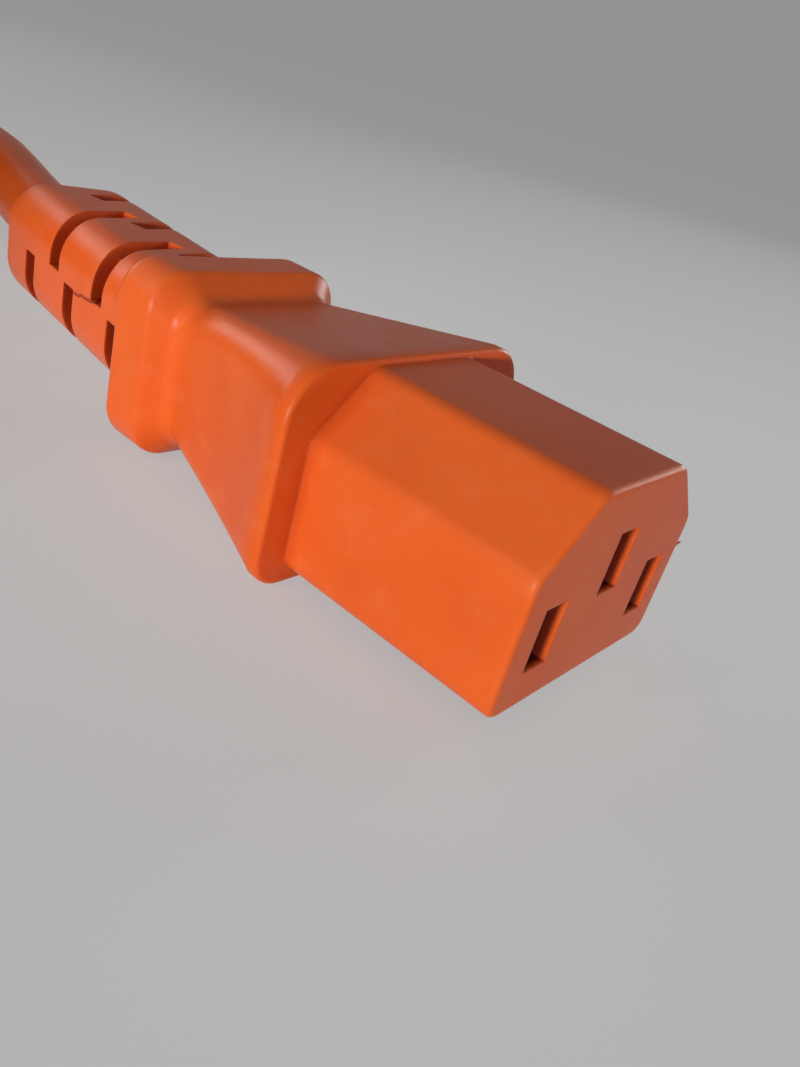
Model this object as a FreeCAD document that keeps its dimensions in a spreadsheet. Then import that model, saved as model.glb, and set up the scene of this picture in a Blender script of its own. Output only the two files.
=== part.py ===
import FreeCAD, Part
import Sketcher
import math
import os
from types import SimpleNamespace

# Driving sizes: millimetres, and degrees for turns and angles
SIZES = {
    # Pin layout that the connector and the plug share
    "pin_pitch": 14.0,
    "earth_rise": 4.0,
    "slot_drop": 2.3,
    "pin_thick": 2.0,
    "pin_tall": 4.0,
    # Connector nose
    "nose_width": 22.0,
    "nose_height": 16.2,
    "nose_length": 20.1,
    "nose_chamfer": 5.2,
    "nose_low_round": 1.5,
    "nose_high_round": 2.0,
    "face_round": 0.5,
    "face_wall": 2.5,
    "slot_width": 2.65,
    "slot_height": 5.0,
    # Flange behind the nose
    "flange_width": 27.6,
    "flange_drop": 9.3,
    "flange_rise": 8.6,
    "flange_land": 1.2,
    "flange_low_round": 2.8,
    "flange_high_round": 4.5,
    "flange_edge_round": 0.4,
    # Tapering grip
    "middle_setback": 9.9,
    "middle_width": 21.0,
    "middle_drop": 8.9,
    "middle_rise": 7.3,
    "middle_round": 2.8,
    "grip_length": 19.1,
    "waist_width": 17.0,
    "waist_drop": 7.0,
    "waist_rise": 6.0,
    "waist_round": 3.0,
    "waist_blend": 1.6,
    # Collar
    "collar_slope": 1.7,
    "collar_length": 5.0,
    "collar_width": 21.2,
    "collar_drop": 8.8,
    "collar_rise": 8.0,
    "collar_low_round": 3.4,
    "collar_high_round": 3.6,
    "collar_front_round": 0.6,
    "collar_rear_round": 1.2,
    # Slit strain relief
    "boot_turn": 8.5,
    "boot_length": 33.1,
    "boot_root_width": 15.8,
    "boot_end_width": 15.0,
    "boot_height": 12.6,
    "boot_round": 4.4,
    "boot_end_round": 2.2,
    "boot_bury": 2.5,
    "axis_drop": 0.6,
    "slit_width": 2.3,
    "slit_floor": 4.75,
    "slit_first": 5.9,
    "slit_pitch": 10.5,
    "slit_lag": 4.0,
    "slit_slant": 18.0,
    "slit_lift": 0.7,
    "slit_gap": 0.25,
    "slit_shift": 0.8,
    "slit_overlap": 0.7,
    # Spring contacts and cores
    "cavity_width": 4.0,
    "cavity_height": 5.6,
    "leaf_length": 11.0,
    "leaf_thick": 0.4,
    "leaf_tall": 4.4,
    "throat_gap": 1.8,
    "throat_setback": 3.0,
    "mouth_gap": 2.7,
    "barrel_length": 4.5,
    "barrel_diameter": 2.6,
    "core_diameter": 2.4,
    "core_spread": 1.6,
    "core_straight": 5.0,
    "inner_clearance": 0.05,
    # Matching plug
    "mating_gap": 0.4,
    "shroud_wall": 2.5,
    "shroud_depth": 17.0,
    "shroud_floor": 4.0,
    "shroud_low_round": 2.5,
    "pin_recess": 1.0,
    "pin_anchor": 3.0,
    "pin_tip": 0.5,
    "shoulder_step": 0.6,
    "shoulder_round": 5.0,
    "plug_grip_length": 12.0,
    "plug_boot_length": 18.0,
    # Cord, coil and tie
    "cord_diameter": 8.3,
    "coil_radius": 39.5,
    "tie_width": 12.0,
    "tie_thick": 0.8,
    "tie_clearance": 0.2,
    "tie_angle": 240.0,
}

# Points of the cord's route that are chosen by hand, in millimetres over the floor
COIL_CENTRE = FreeCAD.Vector(-122.0, -25.0, 0.0)
LEAD_STRAIGHT = 7.8
LEAD_CREST = FreeCAD.Vector(-70.0, 10.4, 11.8)
LEAD_DIP = FreeCAD.Vector(-97.0, 15.2, 7.2)
LEAD_SHARE = 0.52
TAIL_ROUTE = [
    FreeCAD.Vector(-111.5, -68.6, 6.2),
    FreeCAD.Vector(-99.0, -68.6, 8.6),
    FreeCAD.Vector(-86.5, -68.6, 10.4),
    FreeCAD.Vector(-74.5, -68.6, 10.4),
]
ENTRY_ANGLE = 80.0
TAIL_ANGLE = 270.0
TAIL_SHARE = 0.4

# How the coil is wound: turns side by side, and turns one over the other
COIL_COLUMNS = 2
COIL_LAYERS = 4

# How far into the ring its two leads start, in cord diameters
COIL_INSET = 0.15

doc = FreeCAD.newDocument("power_cord")
sheet = doc.addObject("Spreadsheet::Sheet", "sizes")
for row, (alias, number) in enumerate(SIZES.items(), start=1):
    sheet.set(f"A{row}", alias)
    sheet.set(f"B{row}", str(number))
    sheet.setAlias(f"B{row}", alias)
doc.recompute()


class Size:
    """A driving size, or a value worked out from some, as an expression and as a number."""

    def __init__(self, text, number):
        self.text = text
        self.number = number

    def __add__(self, other):
        other = as_size(other)
        return Size(f"({self.text} + {other.text})", self.number + other.number)

    def __sub__(self, other):
        other = as_size(other)
        return Size(f"({self.text} - {other.text})", self.number - other.number)

    def __mul__(self, other):
        other = as_size(other)
        return Size(f"({self.text} * {other.text})", self.number * other.number)

    def __truediv__(self, other):
        other = as_size(other)
        return Size(f"({self.text} / {other.text})", self.number / other.number)

    def __neg__(self):
        return self * -1


def as_size(value):
    """A plain number as a size that has no cell."""
    return value if isinstance(value, Size) else Size(str(value), float(value))


def sine(angle):
    return Size(f"sin({angle.text} * 1deg)", math.sin(math.radians(angle.number)))


def cosine(angle):
    return Size(f"cos({angle.text} * 1deg)", math.cos(math.radians(angle.number)))


s = SimpleNamespace(**{alias: Size(f"sizes.{alias}", sheet.get(alias)) for alias in SIZES})
NONE = as_size(0)

# Places that several pieces share
half_nose = s.nose_height / 2
shroud_width = s.nose_width + (s.mating_gap + s.shroud_wall) * 2
shroud_reach = half_nose + s.mating_gap + s.shroud_wall
shroud_length = s.shroud_depth + s.shroud_floor
pins = {
    "line": (-s.pin_pitch / 2, -s.slot_drop),
    "neutral": (s.pin_pitch / 2, -s.slot_drop),
    "earth": (NONE, s.earth_rise - s.slot_drop),
}
core_angles = {"line": 210.0, "neutral": 330.0, "earth": 90.0}


def bind(thing, path, value):
    """Tie a property of a document object to the sheet."""
    thing.setExpression(path, value.text)


def origin_plane(body, role):
    return next(plane for plane in body.Origin.OriginFeatures if plane.Role == role)


def drive(sketch, name, value, kind, *where):
    """Add a named dimension to a sketch and tie it to the sheet."""
    index = sketch.addConstraint(Sketcher.Constraint(kind, *where, value.number))
    sketch.renameConstraint(index, name)
    bind(sketch, f"Constraints.{name}", value)


def cross_sketch(body, name, station, height, turn=None, sideways=None):
    """An empty sketch across a moulding, at a distance behind its front and a height over the floor."""
    sketch = body.newObject("Sketcher::SketchObject", name)
    sketch.AttachmentSupport = [(origin_plane(body, "YZ_Plane"), "")]
    sketch.MapMode = "FlatFace"
    if turn is not None:
        upright = FreeCAD.Rotation(FreeCAD.Vector(0, -1, 0), turn.number)
        sketch.AttachmentOffset = FreeCAD.Placement(FreeCAD.Vector(), upright)
        bind(sketch, "AttachmentOffset.Rotation.Angle", turn)
        bind(sketch, "AttachmentOffset.Base.x", sideways)
    bind(sketch, "AttachmentOffset.Base.y", height)
    bind(sketch, "AttachmentOffset.Base.z", -station)
    return sketch


def rounded_box(sketch, width, drop, rise, low_round, high_round, left=None, tag=""):
    """Draw flat sides with round lower and upper corners; centred, or with its left side placed."""
    first = sketch.GeometryCount
    west = left.number if left else -width.number / 2
    east = west + width.number
    low, high = low_round.number, high_round.number
    bottom, top = -drop.number, rise.number
    point = FreeCAD.Vector

    def corner(x, y, radius, start):
        circle = Part.Circle(point(x, y, 0), point(0, 0, 1), radius)
        return Part.ArcOfCircle(circle, math.radians(start), math.radians(start + 90))

    sketch.addGeometry([
        Part.LineSegment(point(west + low, bottom, 0), point(east - low, bottom, 0)),
        corner(east - low, bottom + low, low, -90),
        Part.LineSegment(point(east, bottom + low, 0), point(east, top - high, 0)),
        corner(east - high, top - high, high, 0),
        Part.LineSegment(point(east - high, top, 0), point(west + high, top, 0)),
        corner(west + high, top - high, high, 90),
        Part.LineSegment(point(west, top - high, 0), point(west, bottom + low, 0)),
        corner(west + low, bottom + low, low, 180),
    ], False)
    floor, low_east, east_side, high_east, roof, high_west, west_side, low_west = range(first, first + 8)
    loop = list(range(first, first + 8))
    for here, after in zip(loop, loop[1:] + loop[:1]):
        sketch.addConstraint(Sketcher.Constraint("Tangent", here, 2, after, 1))
    sketch.addConstraint(Sketcher.Constraint("Vertical", east_side))
    sketch.addConstraint(Sketcher.Constraint("Vertical", west_side))
    sketch.addConstraint(Sketcher.Constraint("Horizontal", roof))
    sketch.addConstraint(Sketcher.Constraint("Equal", low_east, low_west))
    sketch.addConstraint(Sketcher.Constraint("Equal", high_east, high_west))
    if left is None:
        sketch.addConstraint(Sketcher.Constraint("Symmetric", floor, 1, floor, 2, -2))
    else:
        sketch.addConstraint(Sketcher.Constraint("Horizontal", floor))
        drive(sketch, f"left{tag}", left, "DistanceX", -1, 1, west_side, 1)
    drive(sketch, f"width{tag}", width, "DistanceX", west_side, 1, east_side, 1)
    drive(sketch, f"drop{tag}", drop, "DistanceY", floor, 1, -1, 1)
    drive(sketch, f"rise{tag}", rise, "DistanceY", -1, 1, roof, 1)
    drive(sketch, f"low_round{tag}", low_round, "Radius", low_east)
    drive(sketch, f"high_round{tag}", high_round, "Radius", high_east)
    return sketch


def pinned_outline(sketch, corners, tag=""):
    """Draw a closed outline of straight sides whose corners are all placed from the sheet."""
    first = sketch.GeometryCount
    points = [FreeCAD.Vector(x.number, y.number, 0) for x, y in corners]
    sides = [Part.LineSegment(a, b) for a, b in zip(points, points[1:] + points[:1])]
    sketch.addGeometry(sides, False)
    count = len(corners)
    for k, (x, y) in enumerate(corners):
        sketch.addConstraint(Sketcher.Constraint("Coincident", first + k, 2, first + (k + 1) % count, 1))
        drive(sketch, f"across{tag}_{k}", x, "DistanceX", -1, 1, first + k, 1)
        drive(sketch, f"up{tag}_{k}", y, "DistanceY", -1, 1, first + k, 1)
    return sketch


def chamfered_box(sketch, width, reach, chamfer):
    """Draw the nose's outline: a box as tall above its middle as below, with its upper corners cut off."""
    half = width / 2
    return pinned_outline(sketch, [
        (-half, -reach),
        (half, -reach),
        (half, reach - chamfer),
        (half - chamfer, reach),
        (chamfer - half, reach),
        (-half, reach - chamfer),
    ])


def rectangles(sketch, width, height):
    """Draw one upright rectangle at each of the three pin places."""
    for name, (across, up) in pins.items():
        pinned_outline(sketch, [
            (across - width / 2, up - height / 2),
            (across + width / 2, up - height / 2),
            (across + width / 2, up + height / 2),
            (across - width / 2, up + height / 2),
        ], f"_{name}")
    return sketch


def extrude(body, kind, name, sketch, length, backwards=False, symmetric=False):
    """Pad or pocket a sketch."""
    feature = body.newObject(f"PartDesign::{kind}", name)
    feature.Profile = sketch
    bind(feature, "Length", length)
    feature.Reversed = backwards
    if symmetric:
        feature.SideType = "Symmetric"
    doc.recompute()
    return feature


def loft(body, name, sketches, ruled=False):
    feature = body.newObject("PartDesign::AdditiveLoft", name)
    feature.Profile = sketches[0]
    feature.Sections = sketches[1:]
    feature.Ruled = ruled
    doc.recompute()
    return feature


def fillet(body, name, radius, wanted):
    """Round the edges of the moulding so far that a test picks out."""
    base = body.Tip
    edges = [f"Edge{k}" for k, edge in enumerate(base.Shape.Edges, start=1) if wanted(edge)]
    feature = body.newObject("PartDesign::Fillet", name)
    feature.Base = (base, edges)
    bind(feature, "Radius", radius)
    doc.recompute()
    return feature


def middle_of(edge):
    return edge.valueAt((edge.FirstParameter + edge.LastParameter) / 2)


def at_station(edge, station, slack=0.001):
    """Whether an edge lies in the plane at a distance behind the front."""
    points = [vertex.Point for vertex in edge.Vertexes] + [middle_of(edge)]
    return all(abs(point.x + station.number) < slack for point in points)


def along_axis(edge, length, slack=0.001):
    """Whether an edge is straight and runs front to back over a length."""
    return abs(edge.Length - length.number) < slack and abs(edge.BoundBox.XLength - length.number) < slack


def slits(body, prefix, height, pivot, turn, boot_length):
    """Cut the staggered slits: each wraps two opposite corners of the strain relief at a slant."""
    far = s.boot_root_width
    last = boot_length.number - s.boot_end_round.number - s.slit_width.number * 1.5
    rows = [(s.slit_first, ((-1, -1), (1, 1))), (s.slit_first + s.slit_lag, ((-1, 1), (1, -1)))]
    for row, (first, corners) in enumerate(rows):
        distance = first
        while distance.number < last:
            name = f"{prefix}_slit_{row}_{round(distance.number)}"
            station = pivot + distance * cosine(turn)
            sketch = cross_sketch(body, f"{name}_outline", station, height, turn - s.slit_slant,
                                  distance * sine(turn))
            for k, (side, level) in enumerate(corners):
                across = s.slit_shift - s.slit_overlap * side
                up = s.slit_lift + s.slit_gap * level
                pinned_outline(sketch, [
                    (across, s.slit_floor * level),
                    (across, far * level),
                    (far * side, far * level),
                    (far * side, up),
                    (s.slit_floor * side, up),
                    (s.slit_floor * side, s.slit_floor * level),
                ], f"_{k}")
            extrude(body, "Pocket", name, sketch, s.slit_width, symmetric=True)
            distance = distance + s.slit_pitch


def rear_moulding(body, prefix, front_sketches, waist_station, height, turn, boot_length):
    """Grip, collar and slit strain relief behind a connector's nose or a plug's shroud.

    The strain relief is set at a turn to the grip, as the cord's pull leaves it.
    """
    waist = cross_sketch(body, f"{prefix}_waist", waist_station, height)
    rounded_box(waist, s.waist_width, s.waist_drop, s.waist_rise, s.waist_round, s.waist_round)
    loft(body, f"{prefix}_grip", front_sketches + [waist])

    collar_station = waist_station + s.collar_slope
    collar = cross_sketch(body, f"{prefix}_collar_outline", collar_station, height)
    rounded_box(collar, s.collar_width, s.collar_drop, s.collar_rise,
                s.collar_low_round, s.collar_high_round)
    loft(body, f"{prefix}_collar_slope", [waist, collar], ruled=True)
    extrude(body, "Pad", f"{prefix}_collar", collar, s.collar_length, backwards=True)
    pivot = collar_station + s.collar_length
    fillet(body, f"{prefix}_collar_rear_round", s.collar_rear_round, lambda edge: at_station(edge, pivot))
    fillet(body, f"{prefix}_collar_front_round", s.collar_front_round,
           lambda edge: at_station(edge, collar_station))
    fillet(body, f"{prefix}_waist_blend", s.waist_blend, lambda edge: at_station(edge, waist_station))

    axis = height - s.axis_drop
    root = cross_sketch(body, f"{prefix}_boot_root", pivot - s.boot_bury * cosine(turn), axis,
                        turn, -s.boot_bury * sine(turn))
    end = cross_sketch(body, f"{prefix}_boot_end", pivot + boot_length * cosine(turn), axis,
                       turn, boot_length * sine(turn))
    half = s.boot_height / 2
    rounded_box(root, s.boot_root_width, half, half, s.boot_round, s.boot_round)
    rounded_box(end, s.boot_end_width, half, half, s.boot_round, s.boot_round)
    loft(body, f"{prefix}_boot", [root, end], ruled=True)
    rear = end.Placement

    def on_end(edge):
        points = [vertex.Point for vertex in edge.Vertexes] + [middle_of(edge)]
        return all(abs(rear.inverse().multVec(point).z) < 0.001 for point in points)

    fillet(body, f"{prefix}_boot_end_round", s.boot_end_round, on_end)
    slits(body, prefix, axis, pivot, turn, boot_length)
    return pivot


def route_wire(points, label):
    """Straight runs joined by the largest tangent arcs that the runs allow."""
    edges = []
    start = points[0]
    for before, here, after in zip(points, points[1:], points[2:]):
        inward = (here - before).normalize()
        onward = (after - here).normalize()
        shorter = min((here - before).Length, (after - here).Length)
        setback = 0.45 * shorter
        half_turn = inward.getAngle(onward) / 2
        radius = setback / math.tan(half_turn)
        print(f"{label}: radius {radius:.1f} mm at a turn of {math.degrees(2 * half_turn):.1f} degrees")
        entry = here - inward * setback
        leave = here + onward * setback
        inside = (onward - inward).normalize()
        crown = here + inside * (radius / math.cos(half_turn) - radius)
        edges.append(Part.LineSegment(start, entry).toShape())
        edges.append(Part.Arc(entry, crown, leave).toShape())
        start = leave
    edges.append(Part.LineSegment(start, points[-1]).toShape())
    return Part.Wire(edges)


def tube_along(points, diameter, label):
    """A round solid along a route, with its volume set against section times length."""
    wire = route_wire(points, label)
    circle = Part.makeCircle(diameter / 2, points[0], points[1] - points[0])
    tube = wire.makePipeShell([Part.Wire([circle])], True, True)
    expected = math.pi * diameter ** 2 / 4 * wire.Length
    print(f"{label}: length {wire.Length:.1f} mm, volume {tube.Volume / expected:.4f} of section times length")
    return tube


def routed(name, shape):
    """A document object that holds a shape made along a route."""
    piece = doc.addObject("Part::Feature", name)
    piece.Shape = shape
    return piece


def relief_frame(pivot, height, turn):
    """Where the strain relief meets the collar, with its own x axis pointing forwards along the cord."""
    place = FreeCAD.Vector(-pivot.number, 0, (height - s.axis_drop).number)
    return FreeCAD.Placement(place, FreeCAD.Rotation(FreeCAD.Vector(0, 0, 1), -turn.number))


def core_route(name, start_station, height, frame):
    """The route of an insulated core from its contact or pin to the end of the sheath."""
    across, up = pins[name]
    start = FreeCAD.Vector(-start_station.number, across.number, (height + up).number)
    straight = s.core_straight.number
    angle = math.radians(core_angles[name])
    spread = s.core_spread.number
    offset = FreeCAD.Vector(s.boot_bury.number, spread * math.cos(angle), spread * math.sin(angle))
    finish = frame.multVec(offset)
    before = frame.multVec(offset + FreeCAD.Vector(straight, 0, 0))
    return [start, start - FreeCAD.Vector(straight, 0, 0), before, finish]


def hollowed(body, label, tools):
    """The moulding with the room for its cores and sheath taken out."""
    result = body
    for k, tool in enumerate(tools):
        cut = doc.addObject("Part::Cut", f"{label}_room_{k}")
        cut.Base = result
        cut.Tool = tool
        doc.recompute()
        result = cut
    result.Label = label
    return result


def cord_end(prefix, body, label, start_station, pivot, height, turn, boot_length):
    """Cores and sheath inside a moulding, and the moulding hollowed for them."""
    frame = relief_frame(pivot, height, turn)
    gap = s.inner_clearance.number * 2
    tools = []
    inner = []
    for name in pins:
        route = core_route(name, start_station, height, frame)
        core = routed(f"{prefix}_core_{name}", tube_along(route, s.core_diameter.number, f"{prefix} core"))
        room = routed(f"{prefix}_core_{name}_room",
                      tube_along(route, s.core_diameter.number + gap, f"{prefix} core room"))
        inner.append(core)
        tools.append(room)
    for name, extra, keep in ((f"{prefix}_sheath", NONE, inner),
                              (f"{prefix}_sheath_room", s.inner_clearance, tools)):
        sheath = doc.addObject("Part::Cylinder", name)
        bind(sheath, "Radius", s.cord_diameter / 2 + extra)
        bind(sheath, "Height", boot_length + s.boot_bury)
        lying = FreeCAD.Placement(FreeCAD.Vector(s.boot_bury.number, 0, 0),
                                  FreeCAD.Rotation(FreeCAD.Vector(0, 1, 0), -90))
        sheath.Placement = frame.multiply(lying)
        keep.append(sheath)
    doc.recompute()
    return [hollowed(body, label, tools)] + inner


def make_connector():
    """The connector: nose with three slots, flange, grip, collar, strain relief, contacts and cores."""
    height = s.flange_drop
    body = doc.addObject("PartDesign::Body", "connector_moulding")
    face = cross_sketch(body, "nose_outline", NONE, height)
    chamfered_box(face, s.nose_width, half_nose, s.nose_chamfer)
    extrude(body, "Pad", "nose", face, s.nose_length, backwards=True)
    waterline = height.number - half_nose.number / 2

    def low_edge(edge):
        return along_axis(edge, s.nose_length) and middle_of(edge).z < waterline

    def high_edge(edge):
        along = along_axis(edge, s.nose_length) and middle_of(edge).z > waterline
        return along and is_crease(body.Tip.Shape, edge)

    fillet(body, "nose_low_edges", s.nose_low_round, low_edge)
    fillet(body, "nose_high_edges", s.nose_high_round, high_edge)
    fillet(body, "face_edges", s.face_round, lambda edge: at_station(edge, NONE))

    shoulder = cross_sketch(body, "flange_outline", s.nose_length, height)
    flange = (s.flange_width, s.flange_drop, s.flange_rise, s.flange_low_round, s.flange_high_round)
    rounded_box(shoulder, *flange)
    extrude(body, "Pad", "flange", shoulder, s.flange_land, backwards=True)
    fillet(body, "flange_edges", s.flange_edge_round,
           lambda edge: at_station(edge, s.nose_length) and past_nose(middle_of(edge), height.number))
    back = cross_sketch(body, "flange_back", s.nose_length + s.flange_land, height)
    rounded_box(back, *flange)
    middle = cross_sketch(body, "grip_middle", s.nose_length + s.middle_setback, height)
    rounded_box(middle, s.middle_width, s.middle_drop, s.middle_rise, s.middle_round, s.middle_round)
    waist_station = s.nose_length + s.grip_length
    pivot = rear_moulding(body, "connector", [back, middle], waist_station, height,
                          s.boot_turn, s.boot_length)

    slots = cross_sketch(body, "slot_outlines", NONE, height)
    rectangles(slots, s.slot_width, s.slot_height)
    extrude(body, "Pocket", "slots", slots, s.face_wall)
    room = s.leaf_length + s.barrel_length + s.inner_clearance * 2
    chambers = cross_sketch(body, "chamber_outlines", s.face_wall, height)
    rectangles(chambers, s.cavity_width, s.cavity_height)
    extrude(body, "Pocket", "contact_chambers", chambers, room)

    mouth = s.face_wall + s.inner_clearance
    contacts = [make_contact(name, mouth, height) for name in pins]
    core_start = mouth + s.leaf_length + s.barrel_length
    pieces = cord_end("connector", body, "connector_body", core_start, pivot, height,
                      s.boot_turn, s.boot_length)
    return pieces + contacts, pivot


def is_crease(shape, edge):
    """Whether two flat faces meet at an edge, rather than a round and a flat one."""
    faces = shape.ancestorsOfType(edge, Part.Face)
    return all(face.Surface.TypeId == "Part::GeomPlane" for face in faces)


def past_nose(point, height):
    """Whether a point lies outside the nose's outline."""
    slack = 0.05
    beside = abs(point.y) > s.nose_width.number / 2 + slack
    return beside or abs(point.z - height) > half_nose.number + slack


def make_contact(name, mouth, height):
    """A spring contact: two leaves that close to a throat, a web behind them and a crimp barrel."""
    across, up = pins[name]
    body = doc.addObject("PartDesign::Body", f"contact_{name}")
    plan = body.newObject("Sketcher::SketchObject", f"contact_{name}_plan")
    plan.AttachmentSupport = [(origin_plane(body, "XY_Plane"), "")]
    plan.MapMode = "FlatFace"
    bind(plan, "AttachmentOffset.Base.y", across)
    bind(plan, "AttachmentOffset.Base.z", height + up)
    wide = s.mouth_gap / 2
    narrow = s.throat_gap / 2
    throat = -(mouth + s.throat_setback)
    rear = -(mouth + s.leaf_length)
    thick = s.leaf_thick
    pinned_outline(plan, [
        (-mouth, wide),
        (throat, narrow),
        (rear + thick, wide),
        (rear + thick, -wide),
        (throat, -narrow),
        (-mouth, -wide),
        (-mouth, -wide - thick),
        (throat, -narrow - thick),
        (rear, -wide - thick),
        (rear, wide + thick),
        (throat, narrow + thick),
        (-mouth, wide + thick),
    ])
    extrude(body, "Pad", f"contact_{name}_leaves", plan, s.leaf_tall, symmetric=True)
    barrel = cross_sketch(body, f"contact_{name}_barrel_outline", mouth + s.leaf_length, height + up)
    bind(barrel, "AttachmentOffset.Base.x", across)
    barrel.addGeometry(Part.Circle(FreeCAD.Vector(), FreeCAD.Vector(0, 0, 1), s.barrel_diameter.number / 2))
    barrel.addConstraint(Sketcher.Constraint("Coincident", 0, 3, -1, 1))
    drive(barrel, "across", s.barrel_diameter, "Diameter", 0)
    extrude(body, "Pad", f"contact_{name}_barrel", barrel, s.barrel_length, backwards=True)
    return body


def make_pin(name, height):
    """A flat pin with a bevelled tip, set in the floor of the shroud."""
    across, up = pins[name]
    body = doc.addObject("PartDesign::Body", f"pin_{name}")
    outline = cross_sketch(body, f"pin_{name}_outline", s.pin_recess, height + up)
    bind(outline, "AttachmentOffset.Base.x", across)
    half, tall = s.pin_thick / 2, s.pin_tall / 2
    pinned_outline(outline, [(-half, -tall), (half, -tall), (half, tall), (-half, tall)])
    length = s.shroud_depth + s.pin_anchor - s.pin_recess
    extrude(body, "Pad", f"pin_{name}_blade", outline, length, backwards=True)
    tip = body.Tip
    edges = [f"Edge{k}" for k, edge in enumerate(tip.Shape.Edges, start=1) if at_station(edge, s.pin_recess)]
    bevel = body.newObject("PartDesign::Chamfer", f"pin_{name}_tip")
    bevel.Base = (tip, edges)
    bind(bevel, "Size", s.pin_tip)
    doc.recompute()
    return body


def make_plug():
    """The matching plug: shroud round three flat pins, grip, collar, strain relief and cores."""
    height = shroud_reach
    body = doc.addObject("PartDesign::Body", "plug_moulding")
    rim = cross_sketch(body, "shroud_outline", NONE, height)
    chamfered_box(rim, shroud_width, shroud_reach, s.nose_chamfer)
    extrude(body, "Pad", "shroud", rim, shroud_length, backwards=True)
    fillet(body, "shroud_edges", s.shroud_low_round, lambda edge: along_axis(edge, shroud_length))
    fillet(body, "rim_edges", s.face_round, lambda edge: at_station(edge, NONE))
    fillet(body, "shroud_back_edges", s.face_round, lambda edge: at_station(edge, shroud_length))
    shoulder = cross_sketch(body, "plug_shoulder", shroud_length, height)
    inset = shroud_reach - s.shoulder_step
    rounded_box(shoulder, shroud_width - s.shoulder_step * 2, inset, inset,
                s.shroud_low_round, s.shoulder_round)
    waist_station = shroud_length + s.plug_grip_length
    pivot = rear_moulding(body, "plug", [shoulder], waist_station, height, NONE, s.plug_boot_length)

    well = cross_sketch(body, "well_outline", NONE, height)
    chamfered_box(well, s.nose_width + s.mating_gap * 2, half_nose + s.mating_gap, s.nose_chamfer)
    extrude(body, "Pocket", "well", well, s.shroud_depth)
    seats = cross_sketch(body, "pin_seat_outlines", s.shroud_depth, height)
    gap = s.inner_clearance * 2
    rectangles(seats, s.pin_thick + gap, s.pin_tall + gap)
    extrude(body, "Pocket", "pin_seats", seats, s.pin_anchor)
    blades = [make_pin(name, height) for name in pins]
    core_start = s.shroud_depth + s.pin_anchor
    pieces = cord_end("plug", body, "plug_body", core_start, pivot, height, NONE, s.plug_boot_length)
    return pieces + blades, pivot


def make_ring(lift):
    """The coil's outer shape: columns and layers of cord as one round-edged ring."""
    width = s.cord_diameter * COIL_COLUMNS
    body = doc.addObject("PartDesign::Body", "coil_ring")
    outline = body.newObject("Sketcher::SketchObject", "coil_outline")
    outline.AttachmentSupport = [(origin_plane(body, "XZ_Plane"), "")]
    outline.MapMode = "FlatFace"
    tall = s.cord_diameter * COIL_LAYERS
    bind(outline, "AttachmentOffset.Base.y", lift)
    edge = s.cord_diameter / 2
    rounded_box(outline, width, NONE, tall, edge, edge, left=s.coil_radius - width / 2)
    ring = body.newObject("PartDesign::Revolution", "coil_turns")
    ring.Profile = outline
    ring.ReferenceAxis = (outline, ["V_Axis"])
    ring.Angle = 360
    body.Placement.Base = COIL_CENTRE
    doc.recompute()
    return body


def make_tie():
    """The strap round the bundle of turns, resting on the floor."""
    width = s.cord_diameter * COIL_COLUMNS
    tall = s.cord_diameter * COIL_LAYERS
    body = doc.addObject("PartDesign::Body", "coil_tie")
    outline = body.newObject("Sketcher::SketchObject", "tie_outline")
    outline.AttachmentSupport = [(origin_plane(body, "XZ_Plane"), "")]
    outline.MapMode = "FlatFace"
    edge = s.cord_diameter / 2
    bind(outline, "AttachmentOffset.Base.y", s.tie_clearance + s.tie_thick)
    for tag, grow in (("_inner", s.tie_clearance), ("_outer", s.tie_clearance + s.tie_thick)):
        rounded_box(outline, width + grow * 2, grow, tall + grow, edge + grow, edge + grow,
                    left=s.coil_radius - width / 2 - grow, tag=tag)
    strap = body.newObject("PartDesign::Revolution", "tie_strap")
    strap.Profile = outline
    strap.ReferenceAxis = (outline, ["V_Axis"])
    bind(strap, "Angle", s.tie_width / s.coil_radius * (180 / math.pi))
    turn = FreeCAD.Rotation(FreeCAD.Vector(0, 0, 1), s.tie_angle.number)
    body.Placement = FreeCAD.Placement(COIL_CENTRE, turn)
    doc.recompute()
    return body


def on_coil(angle, column, layer, lift):
    """Middle of the cord at an angle round the coil."""
    radius = s.coil_radius.number + (column - (COIL_COLUMNS - 1) / 2) * s.cord_diameter.number
    level = lift.number + (layer + 0.5) * s.cord_diameter.number
    around = math.radians(angle)
    return COIL_CENTRE + FreeCAD.Vector(radius * math.cos(around), radius * math.sin(around), level)


def between(start, end, share):
    return start + (end - start) * share


connector, connector_pivot = make_connector()
plug, plug_pivot = make_plug()

# The connector stands with the middle of its length and width over the origin
boot_corner = s.boot_end_width.number / 2 - s.boot_end_round.number
boot_reach = ((s.boot_length.number - s.boot_end_round.number) * cosine(s.boot_turn).number
              + boot_corner * sine(s.boot_turn).number + s.boot_end_round.number)
connector_place = FreeCAD.Vector((connector_pivot.number + boot_reach) / 2, 0, 0)
plug_reach = plug_pivot.number + s.plug_boot_length.number
plug_place = TAIL_ROUTE[-1] + FreeCAD.Vector(plug_reach, 0, s.axis_drop.number - shroud_reach.number)
for pieces, place in ((connector, connector_place), (plug, plug_place)):
    for piece in pieces:
        piece.Placement = FreeCAD.Placement(place, FreeCAD.Rotation()).multiply(piece.Placement)

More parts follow.
